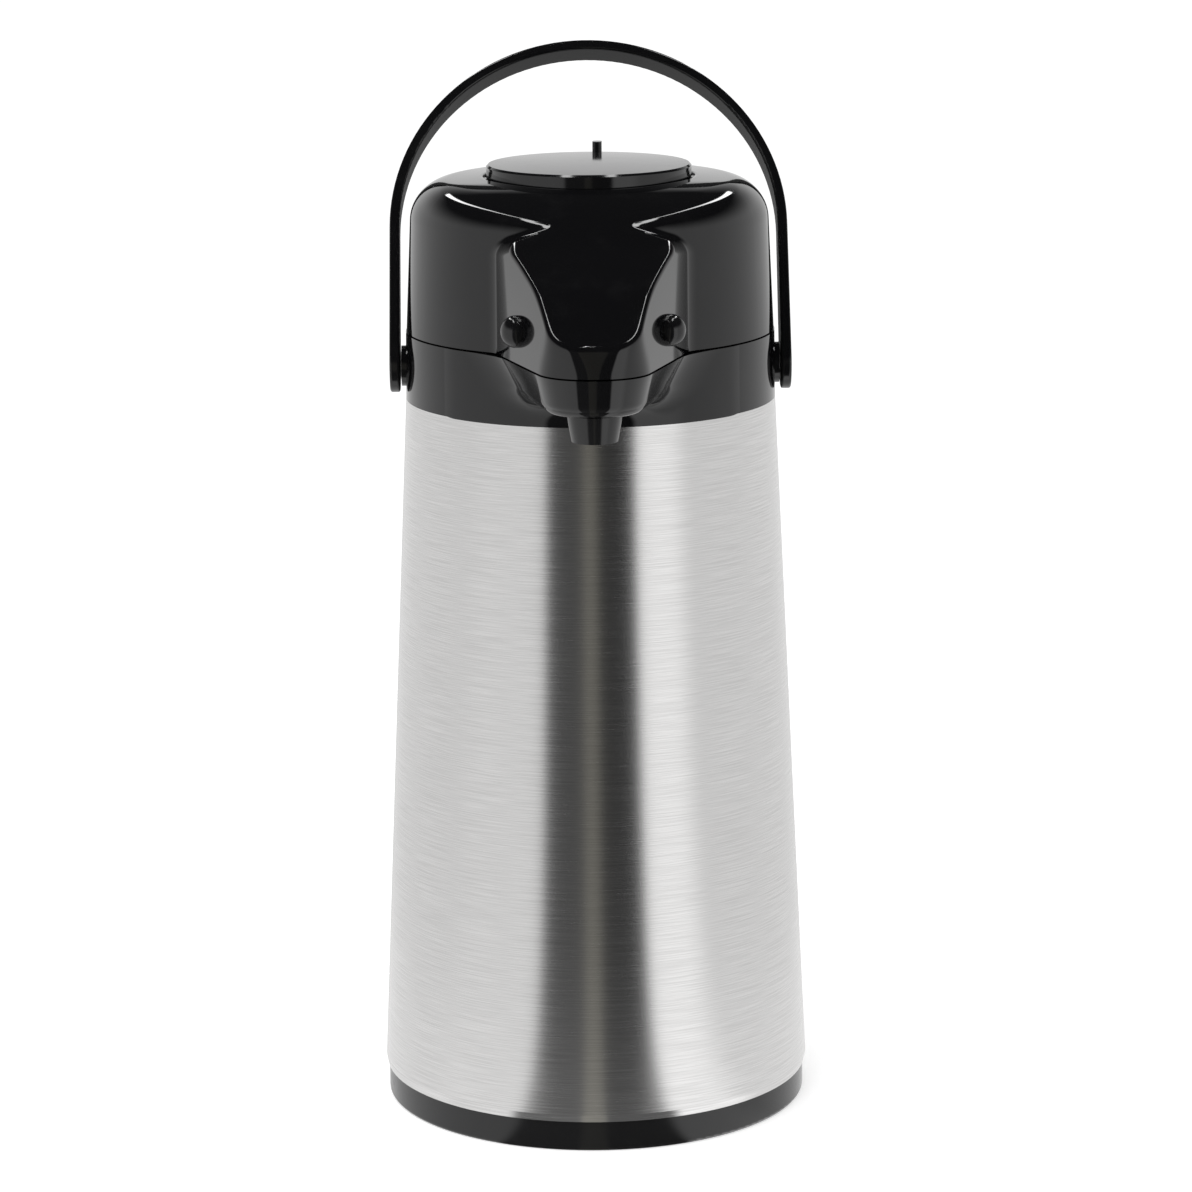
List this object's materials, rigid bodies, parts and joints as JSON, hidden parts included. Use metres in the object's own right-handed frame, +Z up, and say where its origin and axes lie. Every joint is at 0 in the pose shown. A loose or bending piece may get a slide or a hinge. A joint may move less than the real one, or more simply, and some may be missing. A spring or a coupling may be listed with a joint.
{
  "type": "airpot",
  "caption": "Tapered vacuum airpot with brushed steel body, hinged domed lid, press pad, beak spout, side release buttons and bail handle.",
  "frame": {"origin": "centre of the foot on the surface it stands on, on the body's axis", "axes": "+Z up along the body's axis, -Y towards the spout, +X to the right seen from the spout side"},
  "size_m": [0.1704, 0.2112, 0.4183],
  "materials": {
    "base_black": "satin moulded foot",
    "gloss_black": "polished moulding",
    "pad_black": "polished moulding with fine wear",
    "handle_black": "polished moulding",
    "button_black": "polished moulding",
    "spout_black": "satin gloss moulding",
    "brushed_steel": "brushed round the body",
    "silvered_glass": "silvered vacuum glass",
    "grey_rubber": "soft seal",
    "bellows_rubber": "moulded bellows",
    "white_plastic": "food-safe moulding",
    "clear_hose": "milky hose",
    "pin_steel": "plated",
    "spring_steel": "drawn wire",
    "ball_steel": "polished"
  },
  "bodies": {
    "pot": {"base_ring": "base_black", "bottom_cover": "base_black", "liner_cushion": "grey_rubber", "steel_shell": "brushed_steel", "glass_liner": "silvered_glass", "neck_gasket": "grey_rubber", "collar": "gloss_black", "tube_holder": "white_plastic", "siphon_tube": "white_plastic", "outlet_pipe": "clear_hose", "pipe_grommet": "grey_rubber", "spout_tip": "spout_black", "hinge_pin": "pin_steel"},
    "lid": {"lid_dome": "gloss_black", "lid_base": "white_plastic", "lid_screws": "pin_steel", "stopper_seal": "grey_rubber", "outlet_valve": "grey_rubber", "bellows": "bellows_rubber", "return_spring": "spring_steel", "left_release_spring": "spring_steel", "right_release_spring": "spring_steel"},
    "plunger": {"plunger": "white_plastic", "intake_valve": "grey_rubber", "pad_screw": "pin_steel"},
    "pad": {"pad": "pad_black"},
    "left_release": {"left_release": "button_black"},
    "right_release": {"right_release": "button_black"},
    "bushes": {"handle_bushes": "white_plastic"},
    "handle": {"handle": "handle_black"},
    "ball": {"outlet_ball": "ball_steel"}
  },
  "joints": [
    {"name": "lid_hinge", "type": "hinge", "parent": "pot", "child": "lid", "pos_m": [0, 0.0775, 0.313], "axis": [-1, 0, 0], "range_deg": [0, 70]},
    {"name": "bush_turn", "type": "hinge", "parent": "pot", "child": "bushes", "pos_m": [0, 0, 0.2966], "axis": [-1, 0, 0], "range_deg": [0, 52.5]},
    {"name": "handle_swing", "type": "hinge", "parent": "bushes", "child": "handle", "pos_m": [0, 0, 0.2966], "axis": [-1, 0, 0], "range_deg": [-60, 56]},
    {"name": "pad_press", "type": "slide", "parent": "lid", "child": "plunger", "axis": [0, 0, -1], "range_m": [0, 0.018], "stiffness_N_per_m": 300, "springref_m": -0.006, "deforming": ["bellows", "return_spring"]},
    {"name": "pad_turn", "type": "hinge", "parent": "plunger", "child": "pad", "pos_m": [0, 0, 0.37], "axis": [0, 0, 1], "range_deg": [-40, 0]},
    {"name": "left_release_press", "type": "slide", "parent": "lid", "child": "left_release", "axis": [0.9506, 0.3103, 0], "range_m": [0, 0.003], "stiffness_N_per_m": 400, "springref_m": -0.002, "deforming": ["left_release_spring"]},
    {"name": "right_release_press", "type": "slide", "parent": "lid", "child": "right_release", "axis": [-0.9506, 0.3103, 0], "range_m": [0, 0.003], "stiffness_N_per_m": 400, "springref_m": -0.002, "deforming": ["right_release_spring"]},
    {"name": "ball_lift", "type": "slide", "parent": "pot", "child": "ball", "axis": [0, 0, 1], "range_m": [0, 0.0022]}
  ],
  "couplings": [
    {"joint": "bush_turn", "follows": "lid_hinge", "ratio": 0.75}
  ]
}
